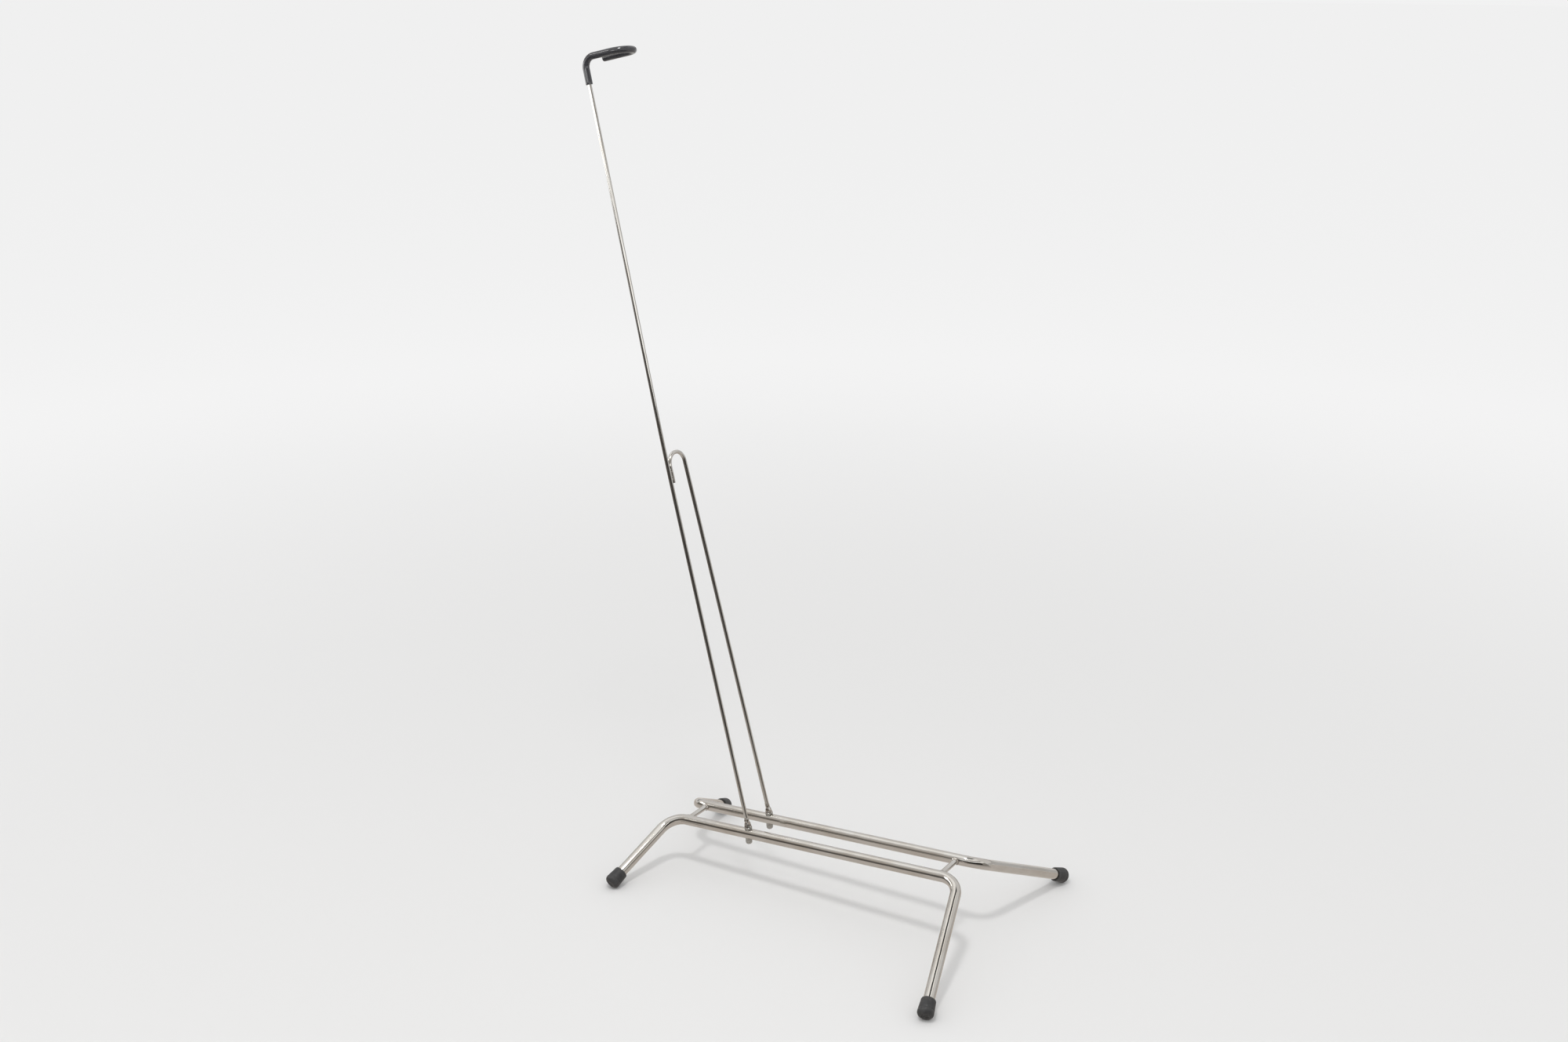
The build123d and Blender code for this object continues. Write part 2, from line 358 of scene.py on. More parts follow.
class Nodes:
    """Short names for building a material's nodes."""

    def __init__(self, name):
        self.material = bpy.data.materials.new(name)
        self.material.use_nodes = True
        self.tree = self.material.node_tree
        self.shader = self.tree.nodes["Principled BSDF"]
        self.flow = self.tree.nodes.new("ShaderNodeAttribute")
        self.flow.attribute_name = "flow"

    def link(self, value, socket):
        """Connects a node's output, or sets a plain value."""
        if isinstance(value, bpy.types.NodeSocket):
            self.tree.links.new(value, socket)
        else:
            socket.default_value = value

    def stretched(self, along, across):
        """The grain coordinates, scaled along and across the piece."""
        node = self.tree.nodes.new("ShaderNodeVectorMath")
        node.operation = "MULTIPLY"
        self.tree.links.new(self.flow.outputs["Vector"], node.inputs[0])
        node.inputs[1].default_value = (along, across, across)
        return node.outputs["Vector"]

    def noise(self, along, across, detail, roughness=0.5):
        """Noise with so many waves per metre along and across the piece."""
        node = self.tree.nodes.new("ShaderNodeTexNoise")
        node.inputs["Scale"].default_value = 1.0
        node.inputs["Detail"].default_value = detail
        node.inputs["Roughness"].default_value = roughness
        self.tree.links.new(self.stretched(along, across), node.inputs["Vector"])
        return node.outputs["Fac"]

    def cells(self, scale):
        """Distance to the nearest cell middle, and a random colour for each cell."""
        node = self.tree.nodes.new("ShaderNodeTexVoronoi")
        node.inputs["Scale"].default_value = 1.0
        self.tree.links.new(self.stretched(scale, scale), node.inputs["Vector"])
        return node.outputs["Distance"], node.outputs["Color"]

    def band(self, value, low, high, out_low=0.0, out_high=1.0):
        """Maps low..high to out_low..out_high, held at both ends."""
        node = self.tree.nodes.new("ShaderNodeMapRange")
        node.inputs["From Min"].default_value = low
        node.inputs["From Max"].default_value = high
        node.inputs["To Min"].default_value = out_low
        node.inputs["To Max"].default_value = out_high
        self.link(value, node.inputs["Value"])
        return node.outputs["Result"]

    def maths(self, operation, a, b):
        node = self.tree.nodes.new("ShaderNodeMath")
        node.operation = operation
        self.link(a, node.inputs[0])
        self.link(b, node.inputs[1])
        return node.outputs["Value"]

    def mix(self, factor, a, b):
        """Mix of two colours."""
        node = self.tree.nodes.new("ShaderNodeMix")
        node.data_type = "RGBA"
        self.link(factor, node.inputs["Factor"])
        self.link(a, node.inputs[MIX_A])
        self.link(b, node.inputs[MIX_B])
        return node.outputs[MIXED]

    def bump(self, height, distance, under=None):
        """Bumps of a height up to distance, on top of those under it."""
        node = self.tree.nodes.new("ShaderNodeBump")
        node.inputs["Strength"].default_value = 1.0
        node.inputs["Distance"].default_value = distance
        self.link(height, node.inputs["Height"])
        if under is not None:
            self.tree.links.new(under, node.inputs["Normal"])
        return node.outputs["Normal"]

    def set(self, name, value):
        """Sets or connects one of the shader's inputs."""
        self.link(value, self.shader.inputs[name])


def colour(r, g, b):
    return (r, g, b, 1.0)


def plated_metal(name, bright, dull, wobble, pits):
    """Bright plating: drawn lines along the metal, slow waves in the reflections, patches of
    haze and a few dark pits. wobble is the waves' height and pits the share of pitted cells."""
    n = Nodes(name)
    haze = n.noise(22, 60, detail=4)
    streaks = n.noise(9, 1500, detail=2)
    waves = n.noise(38, 90, detail=1)
    distance, tone = n.cells(310)
    separate = n.tree.nodes.new("ShaderNodeSeparateColor")
    n.tree.links.new(tone, separate.inputs["Color"])
    chosen = n.band(separate.outputs["Red"], 1 - pits, 1 - pits + 0.02)
    pit = n.maths("MULTIPLY", n.band(distance, 0.16, 0.09), chosen)
    clean = n.mix(n.band(haze, 0.35, 0.7), colour(*bright), colour(*dull))
    n.set("Base Color", n.mix(pit, clean, colour(0.16, 0.11, 0.07)))
    n.set("Metallic", 1.0)
    rough = n.maths(
        "ADD",
        n.band(haze, 0.3, 0.75, 0.035, 0.10),
        n.band(streaks, 0.3, 0.7, 0, 0.03),
    )
    n.set("Roughness", n.maths("ADD", rough, n.maths("MULTIPLY", pit, 0.4)))
    normal = n.bump(waves, wobble)
    normal = n.bump(streaks, 0.00002, under=normal)
    n.set("Normal", n.bump(n.maths("MULTIPLY", pit, -1), 0.00006, under=normal))
    return n.material


def weld_metal(name):
    """Plating over rough weld: bright on the lumps, dull and brown in the hollows."""
    n = Nodes(name)
    lumps = n.noise(330, 330, detail=2)
    fine = n.noise(1500, 1500, detail=4, roughness=0.65)
    n.set(
        "Base Color",
        n.mix(n.band(lumps, 0.35, 0.62), colour(0.27, 0.225, 0.185), colour(0.62, 0.60, 0.57)),
    )
    n.set("Metallic", 1.0)
    n.set("Roughness", n.band(fine, 0.3, 0.7, 0.10, 0.30))
    normal = n.bump(lumps, 0.00018)
    n.set("Normal", n.bump(fine, 0.00005, under=normal))
    return n.material


def turned_metal(name):
    """Dull plating over a turned surface, with fine rings round the pin."""
    n = Nodes(name)
    rings = n.noise(5200, 6, detail=2)
    haze = n.noise(240, 240, detail=4)
    n.set(
        "Base Color",
        n.mix(n.band(haze, 0.35, 0.68), colour(0.44, 0.44, 0.42), colour(0.31, 0.30, 0.28)),
    )
    n.set("Metallic", 1.0)
    n.set("Roughness", n.band(haze, 0.3, 0.7, 0.22, 0.38))
    n.set("Normal", n.bump(rings, 0.00003))
    return n.material


def moulded_rubber(name):
    """Matte black rubber with a fine skin, dust in patches and paler rubbed edges."""
    n = Nodes(name)
    skin_noise = n.noise(2600, 2600, detail=3)
    dust = n.noise(170, 170, detail=5, roughness=0.62)
    scuffs = n.noise(90, 900, detail=3)
    edge = n.tree.nodes.new("ShaderNodeNewGeometry").outputs["Pointiness"]
    clean = n.mix(
        n.band(dust, 0.42, 0.72), colour(0.017, 0.017, 0.018), colour(0.040, 0.039, 0.038)
    )
    rubbed = n.maths("MULTIPLY", n.band(edge, 0.505, 0.56), n.band(scuffs, 0.4, 0.6))
    n.set("Base Color", n.mix(rubbed, clean, colour(0.075, 0.073, 0.070)))
    n.set("Roughness", n.band(dust, 0.3, 0.75, 0.42, 0.66))
    n.set("Specular IOR Level", 0.5)
    normal = n.bump(scuffs, 0.00005)
    n.set("Normal", n.bump(skin_noise, 0.00004, under=normal))
    return n.material


def glossy_vinyl(name):
    """Black vinyl tube: glossy, a little uneven, with rubbed and dusty patches."""
    n = Nodes(name)
    uneven = n.noise(45, 160, detail=2)
    rub = n.noise(60, 420, detail=4)
    specks, _ = n.cells(520)
    dusty = n.maths("MULTIPLY", n.band(specks, 0.14, 0.08), n.band(rub, 0.5, 0.62))
    body = n.mix(n.band(rub, 0.4, 0.75), colour(0.030, 0.030, 0.034), colour(0.050, 0.050, 0.055))
    n.set("Base Color", n.mix(dusty, body, colour(0.16, 0.155, 0.15)))
    n.set("Roughness", n.band(rub, 0.35, 0.75, 0.07, 0.14))
    n.set("Specular IOR Level", 0.6)
    normal = n.bump(uneven, 0.00014)
    n.set("Normal", n.bump(rub, 0.00003, under=normal))
    return n.material


materials = {
    "plated_tube": plated_metal(
        "plated_tube", (0.60, 0.58, 0.55), (0.52, 0.485, 0.44), wobble=0.00026, pits=0.04
    ),
    "plated_rod": plated_metal(
        "plated_rod", (0.60, 0.585, 0.56), (0.52, 0.49, 0.45), wobble=0.00012, pits=0.03
    ),
    "plated_pin": turned_metal("plated_pin"),
    "plated_weld": weld_metal("plated_weld"),
    "foot_rubber": moulded_rubber("foot_rubber"),
    "sleeve_vinyl": glossy_vinyl("sleeve_vinyl"),
}


# ---- rails --------------------------------------------------------------------------------------

def make_rail(side, node):
    """Bent tube with its real bore, drilled through for the pin."""
    low_corner, low_base, low_down = leg_ends(LOW_LEG, side)
    high_corner, high_base, high_down = leg_ends(HIGH_LEG, side)
    hole = rail_point(0, side)
    corners = [
        low_base - low_down * FOOT_FLOOR,
        low_corner,
        high_corner,
        high_base - high_down * FOOT_FLOOR,
    ]
    segments = 72
    route = Route(corners, [TUBE_BEND, TUBE_BEND], spacing=0.006, close_at=hole)
    outer = route.rings(TUBE_RADIUS, segments, flatten=0.05, ripple=0.00006, ripple_pitch=0.009)
    inner = route.rings(TUBE_BORE, segments, flatten=0.06)
    tube = skin(node + "_tube", np.concatenate([outer, inner[::-1]]), looped=True)
    drill_radius, drill_reach = PIN_RADIUS + PIN_CLEARANCE, 0.02
    drill_profile = [(-drill_reach, drill_radius), (drill_reach, drill_radius)]
    drill = lathe("drill", drill_profile, hole, OFF_RAIL, segments=64)
    cut = tube.modifiers.new("drilled", "BOOLEAN")
    cut.operation = "DIFFERENCE"
    cut.solver = "EXACT"
    cut.object = drill
    mesh = evaluated(tube)
    bpy.data.objects.remove(drill)
    smooth(mesh, SHARP)
    places = np.zeros(len(mesh.vertices) * 3, np.float32)
    mesh.vertices.foreach_get("co", places)
    # the drill left its own grain coordinates on the mesh
    for attribute in [a for a in mesh.attributes if a.name == "flow"]:
        mesh.attributes.remove(attribute)
    set_flow(mesh, flow_on(route, places.reshape(-1, 3)))
    stand_for(tube, node)


make_rail(-1, "hook_side_rail")
make_rail(1, "loop_side_rail")


# ---- crossbars and their beads ------------------------------------------------------------------

def make_crossbar(distance, node):
    """Plain bar whose ends are buried in the weld at each rail."""
    buried = 0.0006
    reach = RAIL_OFFSET - TUBE_RADIUS + buried
    profile = [(place, CROSSBAR_RADIUS) for place in np.linspace(-reach, reach, 60)]
    piece = lathe(node + "_bar", profile, rail_point(distance, 0), ACROSS, segments=56)
    stand_for(piece, node)


def make_bead(distance, side, node, seed):
    """Weld bead round a crossbar's end: overlapping lumps from the bar out onto the rail."""
    steps, segments = 12, 96
    lumps_round = 9
    buried, bulge_height = 0.0002, 0.0003
    centre = rail_point(distance, side)
    inwards = -side
    rings = []
    flows = []
    for i in range(steps):
        # from the edge on the bar to the edge on the rail
        part = i / (steps - 1)
        ring = []
        for j in range(segments):
            angle = 2 * math.pi * j / segments
            drift = 1.5 * noise.noise((seed, math.cos(angle), 0.3))
            lump = math.cos(angle * lumps_round + seed + drift)
            swell = 1 + 0.13 * lump + 0.25 * noise.noise(
                (1.7 * math.cos(angle) + seed, 1.7 * math.sin(angle), part)
            )
            width = BEAD_WIDTH * swell
            length = BEAD_LENGTH * 0.85 * swell
            bulge = math.sin(math.pi * part) * bulge_height * (1 + 0.5 * lump)
            radius = CROSSBAR_RADIUS - buried + width * math.sin(part * math.pi / 2) + bulge
            height = radius * math.sin(angle)
            on_rail = math.sqrt(TUBE_RADIUS**2 - height**2) - buried
            out = on_rail + length * math.cos(part * math.pi / 2) + bulge
            place = (
                centre
                + ALONG_RAIL * radius * math.cos(angle)
                + OFF_RAIL * height
                + ACROSS * inwards * out
            )
            ring.append(tuple(place))
            flows.append((out + seed, radius * math.cos(angle), height))
        rings.append(ring)
    rings = np.array(rings)
    if side < 0:
        rings = rings[:, ::-1]
    # the underside is the same shape, a little smaller, so that the bead is a closed shell
    middle = np.array(centre) + np.array(ACROSS) * inwards * TUBE_RADIUS
    inner = rings[::-1] * 0.97 + middle * 0.03
    piece = skin(node + "_bead", np.concatenate([rings, inner]), looped=True, sharp=60)
    set_flow(piece.data, np.array(flows + flows))
    stand_for(piece, node)


for distance, end in ((LOW_CROSSBAR, "low"), (HIGH_CROSSBAR, "high")):
    make_crossbar(distance, f"{end}_crossbar")
    for side, name in ((-1, "hook_side"), (1, "loop_side")):
        make_bead(distance, side, f"{end}_crossbar_weld_{name}", seed=3.1 * side + 40 * distance)


# ---- rubber feet --------------------------------------------------------------------------------

def make_foot(leg, side, node):
    """Moulded ferrule: rounded base with ring treads, a parting line and a rolled rim, and a flat
    where it stands on the floor."""
    _, base, down = leg_ends(leg, side)
    taper = (FOOT_RIM_RADIUS - FOOT_BASE_RADIUS) / FOOT_LENGTH
    tread_rings, first_tread, tread_pitch = 3, 0.0012, 0.0016
    groove, crest = 0.0007, 0.0001
    outline = [(groove, CORE)]
    for k in range(tread_rings):
        radius = first_tread + tread_pitch * k
        outline += [
            (groove, radius),
            (crest, radius + 0.0003),
            (crest, radius + 0.0009),
            (groove, radius + 0.0012),
        ]
    outline += rounded(
        (0, 0), (0, FOOT_BASE_RADIUS), (FOOT_LENGTH, FOOT_RIM_RADIUS), FOOT_BASE_ROUNDING, 20
    )
    parting_line = [(0.0090, 0), (0.0092, -0.00012), (0.0096, -0.00012), (0.0098, 0)]
    wall = [(place, 0) for place in np.linspace(0.012, 0.0205, 8)]
    rim_groove = [(0.0212, 0), (0.0215, -0.00022), (0.0219, -0.00022), (0.0222, 0)]
    for place, lift in parting_line + wall + rim_groove:
        outline.append((place, FOOT_BASE_RADIUS + taper * place + lift))
    outline += rounded(
        (0, FOOT_BASE_RADIUS),
        (FOOT_LENGTH, FOOT_RIM_RADIUS),
        (FOOT_LENGTH, 0),
        FOOT_RIM_ROUNDING,
        8,
    )
    # the socket, from its lip to the middle of its floor
    outline += [
        (FOOT_LENGTH - 0.0001, TUBE_RADIUS + 0.0004),
        (FOOT_LENGTH - 0.0006, TUBE_RADIUS),
        (FOOT_FLOOR, TUBE_RADIUS),
        (FOOT_FLOOR, CORE),
    ]
    outline = [(place, radius - INSET) for place, radius in outline]
    piece = lathe(node + "_ferrule", outline, base, -down, segments=112, sharp=35)
    for vertex in piece.data.vertices:
        vertex.co.z = max(vertex.co.z, 0.0)
    piece.data.update()
    stand_for(piece, node)


for leg, end in ((LOW_LEG, "low"), (HIGH_LEG, "high")):
    for side, name in ((-1, "hook_side"), (1, "loop_side")):
        make_foot(leg, side, f"{end}_foot_{name}")


# ---- uprights -----------------------------------------------------------------------------------

def hook_corners():
    """The tall rod's corner points above the arch: crank, hook corner, arm, return and tip."""
    crank = upright_point(ARCH_HEIGHT, -1)
    rise = HOOK_HEIGHT - ARCH_HEIGHT
    corner = crank + Vector((-rise * math.tan(UPPER_LEAN), rise * TOE_IN, rise))
    arm = Vector((math.cos(HOOK_ARM_RISE), 0, math.sin(HOOK_ARM_RISE)))
    across = Matrix.Rotation(-HOOK_DROOP, 3, arm) @ ACROSS
    arm_corner = corner + arm * HOOK_ARM
    return_corner = arm_corner + across * HOOK_WIDTH
    return crank, corner, arm_corner, return_corner, return_corner - arm * HOOK_RETURN


def make_rod(node, corners, radii):
    """Round rod with a cut, slightly rounded tip."""
    tip_length, tip_share = 0.0003, 0.9
    route = Route(corners, radii, spacing=0.012)
    rings = route.rings(ROD_RADIUS, 48, flatten=0.03)
    end = route.points[-1]
    tip_ring = end + route.tangent[-1] * tip_length + (rings[-1] - end) * tip_share
    rings = np.concatenate([rings, tip_ring[None]])
    piece = skin(node + "_bar", rings)
    set_flow(piece.data, flow_on(route, rings.reshape(-1, 3)))
    stand_for(piece, node)


crank, hook_corner, arm_corner, return_corner, tip = hook_corners()
hook_bends = [HOOK_BEND, HOOK_TURN, HOOK_TURN]
hook_foot = upright_point(PIN_TOP_HEIGHT, -1)
loop_foot = upright_point(PIN_TOP_HEIGHT, 1)
lower_up = (crank - hook_foot).normalized()
make_rod(
    "hook_rod",
    [hook_foot, crank, hook_corner, arm_corner, return_corner, tip],
    [CRANK_BEND, *hook_bends],
)

arch_corner = upright_point(ARCH_HEIGHT, 1)
lap_corner = crank + ACROSS * LAP_OFFSET
lap_end = lap_corner - lower_up * (ARCH_BEND + LAP_LENGTH)
make_rod("loop_rod", [loop_foot, arch_corner, lap_corner, lap_end], [ARCH_BEND, ARCH_BEND])


def make_sleeve(node):
    """Vinyl tube pushed over the hook: rounded cut ends, flattened and creased inside its bends."""
    tip_way = (return_corner - tip).normalized()
    upper_way = (hook_corner - crank).normalized()
    corners = [
        hook_corner - upper_way * SLEEVE_SKIRT,
        hook_corner,
        arm_corner,
        return_corner,
        tip - tip_way * SLEEVE_OVERHANG,
    ]
    segments, clearance = 64, 0.00003
    route = Route(corners, hook_bends, spacing=0.004)
    outer = route.rings(
        SLEEVE_RADIUS - INSET, segments, flatten=0.05, ripple=0.00012, ripple_pitch=0.0042
    )[1:-1]
    inner = route.rings(ROD_RADIUS + clearance, segments)
    first, last = outer[0] - route.points[1], outer[-1] - route.points[-2]
    start, end = [], []
    # rounding of the cut ends: distance inside the end, and share of the radius there
    for inside, share in ((0.0005, 0.992), (0.0002, 0.975), (0.0, 0.93)):
        start.append(route.points[0] + route.tangent[0] * inside + first * share)
        end.append(route.points[-1] - route.tangent[-1] * inside + last * share)
    rings = np.concatenate([np.array(start[::-1]), outer, np.array(end), inner[::-1]])
    piece = skin(node + "_tube", rings, looped=True, sharp=50)
    set_flow(piece.data, flow_on(route, rings.reshape(-1, 3)))
    stand_for(piece, node)


make_sleeve("hook_sleeve")


def make_lap_weld(node):
    """Lumpy weld in the groove on both sides of the two rods where they run side by side."""
    across = lower_up.cross(ACROSS)
    middle = (crank + lap_corner) / 2 - lower_up * (ARCH_BEND + LAP_LENGTH / 2)
    rows, columns = 60, 40
    lump_length, half_width, half_depth = 0.0019, 0.0022, 0.0016
    rings = []
    flows = []
    for i in range(rows):
        part = i / (rows - 1)
        place = (part - 0.5) * LAP_WELD
        fade = math.sqrt(max(0.0, 1 - abs(2 * part - 1) ** 6))
        ring = []
        for j in range(columns):
            angle = 2 * math.pi * j / columns
            offset = math.copysign(1.4, math.cos(angle))
            lump = 0.5 + 0.5 * math.cos(place / lump_length * math.pi + offset)
            rough = noise.noise((place * 260, math.cos(angle) * 1.5, math.sin(angle) * 1.5))
            wide = half_width + 0.0005 * lump + 0.0005 * rough
            deep = half_depth + 0.0002 * lump
            x = math.cos(angle) * wide * (0.35 + 0.65 * fade)
            y = math.copysign(abs(math.sin(angle)) ** 0.8, math.sin(angle)) * deep * fade
            ring.append(tuple(middle + lower_up * place + across * x + ACROSS * y))
            flows.append((place, x, y))
        rings.append(ring)
    piece = skin(node + "_bead", np.array(rings), sharp=60)
    set_flow(piece.data, np.array(flows))
    stand_for(piece, node)


make_lap_weld("lap_weld")


# ---- pins and their welds -----------------------------------------------------------------------

def make_pin(side, node):
    """Turned pin with a domed tip, and a shoulder with broken edges that rests on the rail."""
    tip_place = -(TUBE_RADIUS + PIN_PROTRUSION)
    dome_steps, dome_start = 14, 2
    broken_edge, top_edge, edge_steps = 0.0004, 0.0005, 5
    profile = []
    for k in range(dome_steps + 1):
        angle = math.radians(dome_start + (90 - dome_start) * k / dome_steps)
        height = tip_place + PIN_DOME * (1 - math.cos(angle))
        profile.append((height, PIN_RADIUS * math.sin(angle)))
    shank = np.linspace(tip_place + PIN_DOME + 0.001, TUBE_RADIUS, 12)
    profile += [(place, PIN_RADIUS) for place in shank]
    profile += rounded(
        (TUBE_RADIUS, PIN_RADIUS),
        (TUBE_RADIUS, SHOULDER_RADIUS),
        (PIN_TOP, SHOULDER_RADIUS),
        broken_edge,
        edge_steps,
    )
    profile += rounded(
        (TUBE_RADIUS, SHOULDER_RADIUS),
        (PIN_TOP, SHOULDER_RADIUS),
        (PIN_TOP, 0),
        top_edge,
        edge_steps,
    )
    profile.append((PIN_TOP, 0.0005))
    piece = lathe(node + "_turned", profile, rail_point(0, side), OFF_RAIL, segments=72, sharp=50)
    stand_for(piece, node)


def make_pin_weld(side, node, seed, lumps):
    """Weld metal heaped on the pin's shoulder and run up round the rod's foot. Each lump is its
    angle in degrees, height, size and how far it stands out."""
    foot = upright_point(PIN_TOP_HEIGHT, side)
    up = (upright_point(ARCH_HEIGHT, side) - foot).normalized()
    front = up.cross(ACROSS).normalized()
    rows, columns = 44, 64
    base, neck = SHOULDER_RADIUS - 0.0003, ROD_RADIUS + 0.0004
    waist_swell, roughness, top_taper, top_start = 0.0004, 0.00050, 0.0008, 0.75
    rings = []
    flows = []
    for i in range(rows):
        part = i / (rows - 1)
        rise = part * PIN_WELD
        # square to the pin's shoulder at the foot, and to the rod above it
        tilt = max(0.0, 1 - part * 3)
        way = (up * (1 - tilt) + OFF_RAIL * tilt).normalized()
        x_way = (front - way * front.dot(way)).normalized()
        y_way = way.cross(x_way)
        radius = neck + (base - neck) * math.exp(-((part / 0.30) ** 1.8))
        radius += waist_swell * math.exp(-(((part - 0.33) / 0.12) ** 2))
        if part > top_start:
            radius -= top_taper * ((part - top_start) / (1 - top_start)) ** 2
        ring = []
        for j in range(columns):
            angle = 2 * math.pi * j / columns
            spot = Vector((math.cos(angle), math.sin(angle), part * 4.0))
            rough = noise.noise(spot * 1.25 + Vector((seed, 0, 0)))
            grow = roughness * rough * min(1.0, 6 * part)
            for where, height, size, amount in lumps:
                gap = (angle - math.radians(where) + math.pi) % (2 * math.pi) - math.pi
                spread = (gap * radius / size) ** 2 + ((rise - height) / size) ** 2
                grow += amount * math.exp(-spread)
            x, y = (radius + grow) * math.cos(angle), (radius + grow) * math.sin(angle)
            ring.append(tuple(foot + up * rise + x_way * x + y_way * y))
            flows.append((rise + seed, x, y))
        rings.append(ring)
    piece = skin(node + "_bead", np.array(rings), sharp=70)
    set_flow(piece.data, np.array(flows))
    stand_for(piece, node)


make_pin(-1, "hook_rod_pin")
make_pin(1, "loop_rod_pin")
near_lumps = [
    (-20, 0.0035, 0.0022, 0.0012),
    (200, 0.006, 0.002, 0.0009),
    (70, 0.010, 0.0016, 0.0007),
]
far_lumps = [
    (10, 0.0145, 0.0013, 0.0010),
    (150, 0.004, 0.0022, 0.0011),
    (300, 0.008, 0.0018, 0.0008),
]
make_pin_weld(-1, "hook_rod_pin_weld", seed=5.3, lumps=near_lumps)
make_pin_weld(1, "loop_rod_pin_weld", seed=11.7, lumps=far_lumps)


# ---- floor, light and camera --------------------------------------------------------------------

FLOOR_REACH = 60.0
# painted shade: the floor's colour is darker round the stand and paler far off, in place of the
# light's falloff; its tone near the stand and far from it, and the distances between which it
# changes
SHADED_NEAR_FLOOR = (0.757, 0.754, 0.749, 1)
PALE_FAR_FLOOR = (0.985, 0.985, 0.985, 1)
FLOOR_SHADE_FADE = (0.4, 4.0)
SURROUNDINGS = (0.885, 0.885, 0.885, 1)


def make_floor():
    """Large pale floor with painted shade: darker round the stand, a little paler towards its edge.
    """
    floor = bpy.data.meshes.new("floor")
    reach = FLOOR_REACH
    floor.from_pydata(
        [(-reach, -reach, 0), (reach, -reach, 0), (reach, reach, 0), (-reach, reach, 0)],
        [],
        [(0, 1, 2, 3)],
    )
    piece = bpy.data.objects.new("floor", floor)
    bpy.context.scene.collection.objects.link(piece)
    material = bpy.data.materials.new("floor_with_painted_shade")
    material.use_nodes = True
    tree = material.node_tree
    place = tree.nodes.new("ShaderNodeTexCoord").outputs["Object"]
    far = tree.nodes.new("ShaderNodeVectorMath")
    far.operation = "LENGTH"
    tree.links.new(place, far.inputs[0])
    fade = tree.nodes.new("ShaderNodeMapRange")
    fade.interpolation_type = "SMOOTHSTEP"
    fade.inputs["From Min"].default_value = FLOOR_SHADE_FADE[0]
    fade.inputs["From Max"].default_value = FLOOR_SHADE_FADE[1]
    tree.links.new(far.outputs["Value"], fade.inputs["Value"])
    # painted shade: the floor's colour goes from darker near the stand to paler far off
    painted_shade = tree.nodes.new("ShaderNodeMix")
    painted_shade.data_type = "RGBA"
    painted_shade.inputs[MIX_A].default_value = SHADED_NEAR_FLOOR
    painted_shade.inputs[MIX_B].default_value = PALE_FAR_FLOOR
    tree.links.new(fade.outputs["Result"], painted_shade.inputs["Factor"])
    shader = tree.nodes["Principled BSDF"]
    tree.links.new(painted_shade.outputs[MIXED], shader.inputs["Base Color"])
    shader.inputs["Roughness"].default_value = 0.9
    shader.inputs["Specular IOR Level"].default_value = 0.0
    floor.materials.append(material)


# what the metal reflects, all of it glowing cards that paint reflections and light nothing:
# distances of the card arcs, heights of the level cards, and two whites
NEAR, BRIGHT, FAR = 2.0, 11.5, 12.0
SHADED_FLOOR_CARD_HEIGHT, FRONT_DARK_CARD_HEIGHT = 0.0010, 0.0015
WHITE = Vector((1.0, 1.0, 0.99))
WARM = Vector((1.0, 0.94, 0.88))
ARC_STEP = 8


def make_card(name, corners, tone):
    """Glowing sheet of one tone that only reflections see: a painted reflection that lights
    nothing.
    corners are pairs of points, and each pair is joined to the next."""
    mesh = bpy.data.meshes.new(name)
    quads = [(k, k + 1, k + 3, k + 2) for k in range(0, len(corners) - 2, 2)]
    mesh.from_pydata(corners, [], quads)
    material = bpy.data.materials.new(name)
    material.use_nodes = True
    tree = material.node_tree
    glow = tree.nodes.new("ShaderNodeEmission")
    glow.inputs["Color"].default_value = (*tone, 1)
    tree.links.new(glow.outputs[0], tree.nodes["Material Output"].inputs["Surface"])
    mesh.materials.append(material)
    card = bpy.data.objects.new(name, mesh)
    bpy.context.scene.collection.objects.link(card)
    card.visible_camera = False
    card.visible_diffuse = False
    card.visible_shadow = False
    card.visible_transmission = False
    card.visible_volume_scatter = False


def make_level_card(name, lows, highs, height, tone):
    """Card that lies level: lows and highs are its lowest and highest x and y."""
    (left, near), (right, far) = lows, highs
    make_card(name, [(x, y, height) for y in (near, far) for x in (left, right)], tone)


def make_arc(name, start, end, edges, tones):
    """Glowing cards edge to edge round an arc about the middle of the floor, painting reflections.
    Angles are in degrees from +X, each edge is a radius and a height, and each tone lies between
    two edges."""
    steps = math.ceil((end - start) / ARC_STEP)
    for k, tone in enumerate(tones):
        corners = []
        for j in range(steps + 1):
            angle = math.radians(start + (end - start) * j / steps)
            for radius, height in (edges[k], edges[k + 1]):
                corners.append((radius * math.cos(angle), radius * math.sin(angle), height))
        make_card(f"{name}_{k}", corners, tone)


def make_light(name, place, size, power):
    """Square lamp that points at the middle of the floor."""
    data = bpy.data.lights.new(name, "AREA")
    data.shape = "RECTANGLE"
    data.size, data.size_y = size, size
    data.energy = power
    lamp = bpy.data.objects.new(name, data)
    lamp.location = place
    lamp.rotation_euler = (-Vector(place)).to_track_quat("-Z", "Y").to_euler()
    bpy.context.scene.collection.objects.link(lamp)


def make_world():
    """Even white surroundings."""
    world = bpy.data.worlds.new("studio")
    bpy.context.scene.world = world
    world.use_nodes = True
    background = world.node_tree.nodes["Background"]
    background.inputs["Color"].default_value = SURROUNDINGS
    background.inputs["Strength"].default_value = 1.0


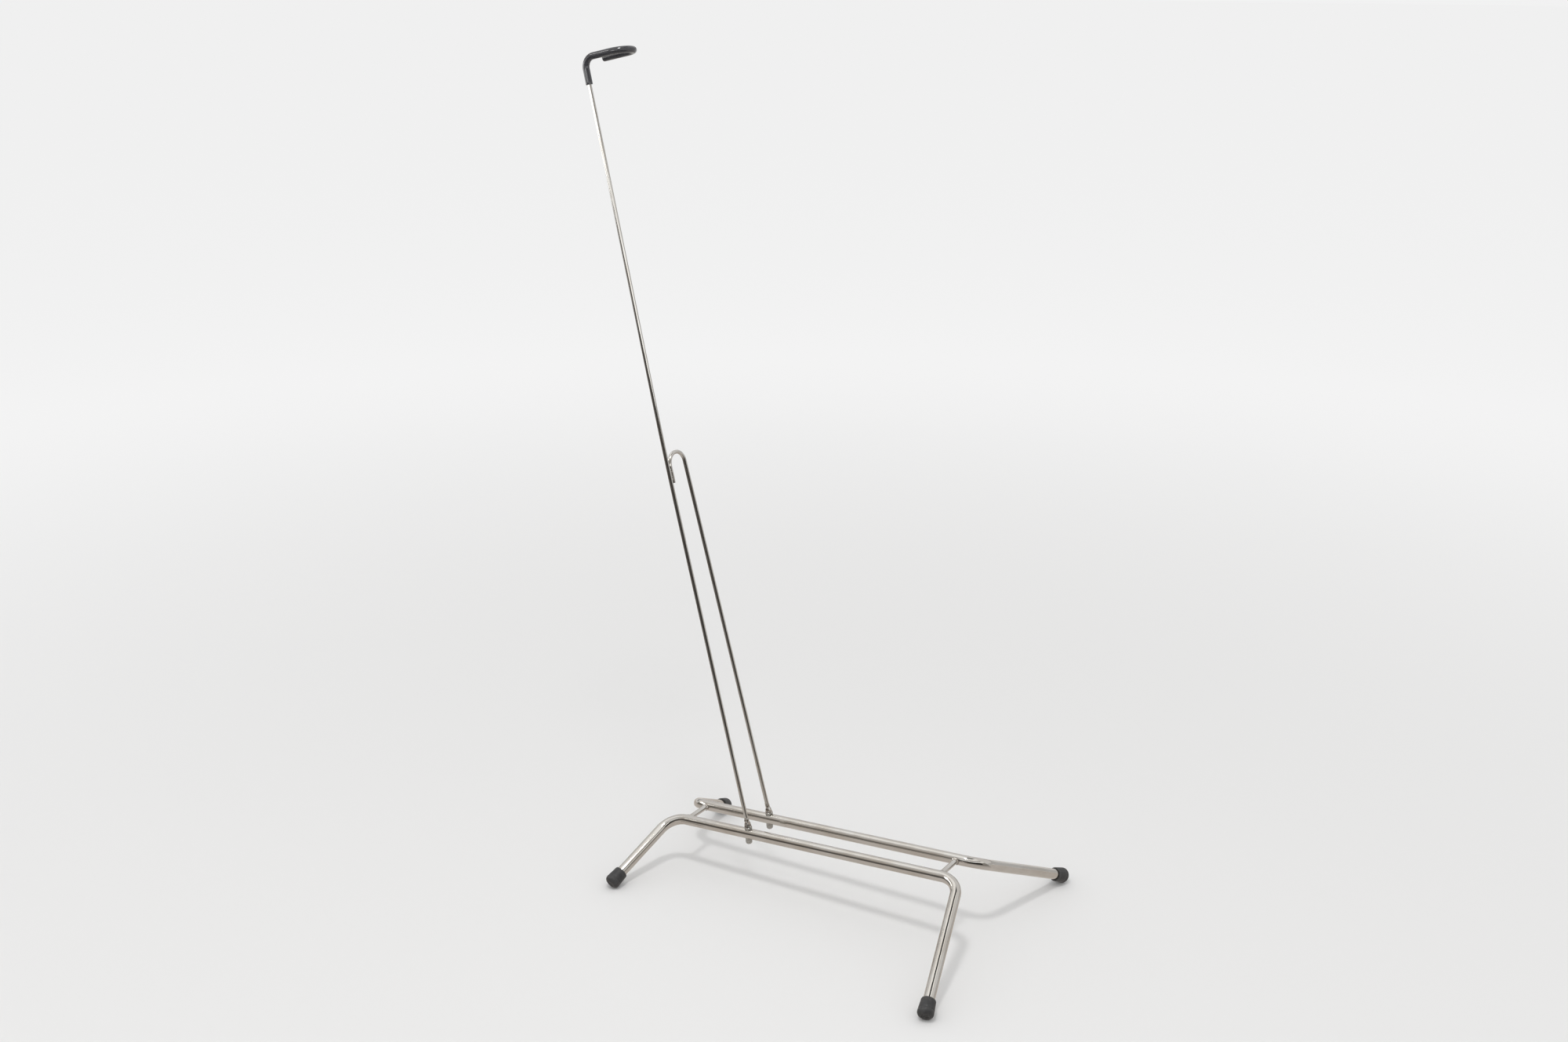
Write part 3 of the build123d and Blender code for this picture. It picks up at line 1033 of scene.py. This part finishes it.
def make_camera():
    """Camera at the photograph's place, angle and focal length."""
    camera = bpy.data.objects.new("camera", bpy.data.cameras.new("camera"))
    camera.data.lens = 41.88
    camera.data.sensor_width = 36.0
    camera.data.sensor_fit = "HORIZONTAL"
    camera.data.clip_end = 200
    place = Matrix.Translation((PIN_X + 1.3513, -2.1197, 1.3408))
    yaw = Matrix.Rotation(math.radians(31.68), 4, "Z")
    pitch = Matrix.Rotation(math.radians(90 - 17.13), 4, "X")
    roll = Matrix.Rotation(math.radians(0.15), 4, "Z")
    camera.matrix_world = place @ yaw @ pitch @ roll
    bpy.context.scene.collection.objects.link(camera)
    bpy.context.scene.camera = camera


# glowing cards that only reflections see, painting the reflections and highlights in the metal:
# name, first and last angle, distance, heights of the edges, and the tone of the part between each
# two edges. Dark painted reflections are near, and pale ones and painted highlights are behind
# them.
PAINTED_REFLECTION_CARDS = [
    # painted reflection, with a band glowing three times white as a painted highlight at its top
    (
        "side_window",
        (-178, -136),
        NEAR,
        (0, 0.45, 0.74, 1.35),
        (0.20 * WARM, 0.60 * WHITE, 3.0 * WHITE),
    ),
    ("shelf", (-136, -110), NEAR, (0, 0.62, 0.95), (0.11 * WARM, 0.25 * WARM)),
    ("bench", (-110, -62), NEAR, (0, 1.12), (0.09 * WARM,)),
    ("cupboard", (-62, -8), NEAR, (0, 1.06, 1.50), (0.03 * WARM, 1.6 * WHITE)),
    ("cupboard_side", (-8, 14), NEAR, (0, 1.06, 1.50), (0.35 * WARM, 1.5 * WHITE)),
    ("far_side", (-178, -136), FAR, (4.4, 11.5, 20), (0.60 * WARM, 0.76 * WHITE)),
    (
        "far_corner",
        (-136, -110),
        FAR,
        (0, 4.4, 7.0, 11.5, 20),
        (0.34 * WARM, 0.45 * WARM, 0.60 * WARM, 0.76 * WHITE),
    ),
    (
        "far_window",
        (-110, -62),
        FAR,
        (0, 5.0, 9.0, 20),
        (1.5 * WHITE, 1.0 * WHITE, 0.8 * WHITE),
    ),
    ("far_wall", (-62, 14), FAR, (0, 4.6, 14), (1.1 * WHITE, 0.30 * WARM)),
    ("back_wall", (14, 85), FAR, (0, 3.6), (0.62 * WHITE,)),
    ("back_corner", (85, 170), FAR, (1.9, 3.6), (0.33 * WHITE,)),
    # painted highlights: small cards glowing six times white that put bright lines on the rods and
    # the sleeve
    ("bright_window", (-108, -84), BRIGHT, (1.9, 3.4), (6.0 * WHITE,)),
    ("high_window", (-156, -138), BRIGHT, (6.0, 8.6), (6.0 * WHITE,)),
]

make_floor()
make_world()
# painted shade in reflections: a warm grey glowing card under the stand stands in for the shaded
# floor that the metal reflects
make_level_card("shaded_floor_reflection", (-3.0, -0.42), (3.0, 3.0), SHADED_FLOOR_CARD_HEIGHT, 0.66 * WARM)
# painted reflections: glowing cards in front of the stand, darker further out, seen only in the
# metal
make_arc(
    "front_dark_reflection",
    -178,
    14,
    [(radius, FRONT_DARK_CARD_HEIGHT) for radius in (0.42, 0.60, 0.90, 1.30, NEAR)],
    (0.50 * WARM, 0.34 * WARM, 0.22 * WARM, 0.14 * WARM),
)
# painted reflections: each arc is a glowing card seen only in the metal's reflections
for name, (start, end), radius, heights, tones in PAINTED_REFLECTION_CARDS:
    make_arc(name, start, end, [(radius, height) for height in heights], tones)
# painted reflections: a glowing card over the stand with a dark strip across it, seen only in the
# metal
make_level_card("overhead_painted_reflection", (-2.5, -0.9), (2.0, 1.3), 3.4, 1.3 * WHITE)
make_level_card("overhead_dark_reflection_strip", (-0.10, 0.05), (1.05, 1.3), 3.35, 0.03 * WHITE)
make_light("key", (0.19, -0.78, 3.0), size=0.4, power=20)
make_camera()
bpy.context.scene.view_settings.view_transform = "Standard"
